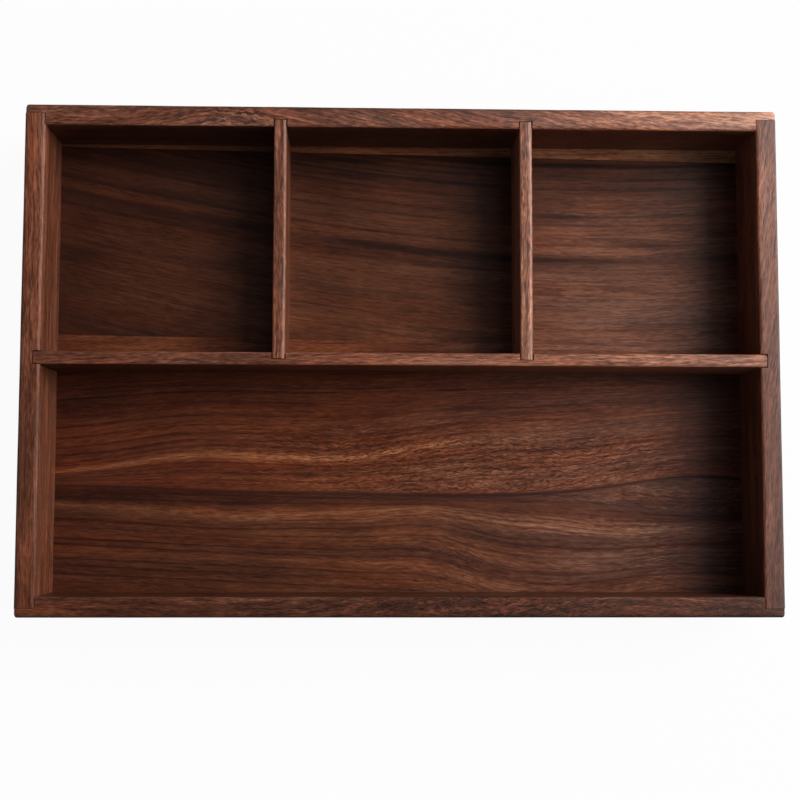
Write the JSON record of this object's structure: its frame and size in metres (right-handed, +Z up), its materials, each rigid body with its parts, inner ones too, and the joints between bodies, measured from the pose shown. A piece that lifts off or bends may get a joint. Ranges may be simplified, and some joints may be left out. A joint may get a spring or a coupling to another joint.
{
  "type": "desk organizer tray",
  "caption": "Shallow open-topped walnut desk organizer tray with rabbeted corners, a glued-up floor, and slotted dividers that lift out to merge the back cells and the long front cell.",
  "frame": {"origin": "centre of the tray's footprint, on the surface it stands on", "axes": "+X along the tray to the right, +Y from the long front cell to the small cells at the back, +Z up out of the open top"},
  "size_m": [0.3, 0.202, 0.04],
  "materials": {
    "frame_walnut": "oiled, satin",
    "divider_walnut": "oiled, satin",
    "floor_walnut": "oiled, satin",
    "floor_sapwood": "oiled, satin"
  },
  "bodies": {
    "tray": {"front_wall": "frame_walnut", "back_wall": "frame_walnut", "left_wall": "frame_walnut", "right_wall": "frame_walnut", "floor_front_board": "floor_walnut", "floor_back_board": "floor_walnut", "floor_back_strip": "floor_sapwood"},
    "long_divider": {"long_divider": "divider_walnut"},
    "left_cross_divider": {"left_cross_divider": "divider_walnut"},
    "right_cross_divider": {"right_cross_divider": "divider_walnut"}
  },
  "joints": [
    {"name": "long_divider_lift", "type": "slide", "parent": "tray", "child": "long_divider", "axis": [0, 0, 1], "range_m": [0, 0.03]},
    {"name": "left_cross_divider_lift", "type": "slide", "parent": "tray", "child": "left_cross_divider", "axis": [0, 0, 1], "range_m": [0, 0.03]},
    {"name": "right_cross_divider_lift", "type": "slide", "parent": "tray", "child": "right_cross_divider", "axis": [0, 0, 1], "range_m": [0, 0.03]}
  ]
}
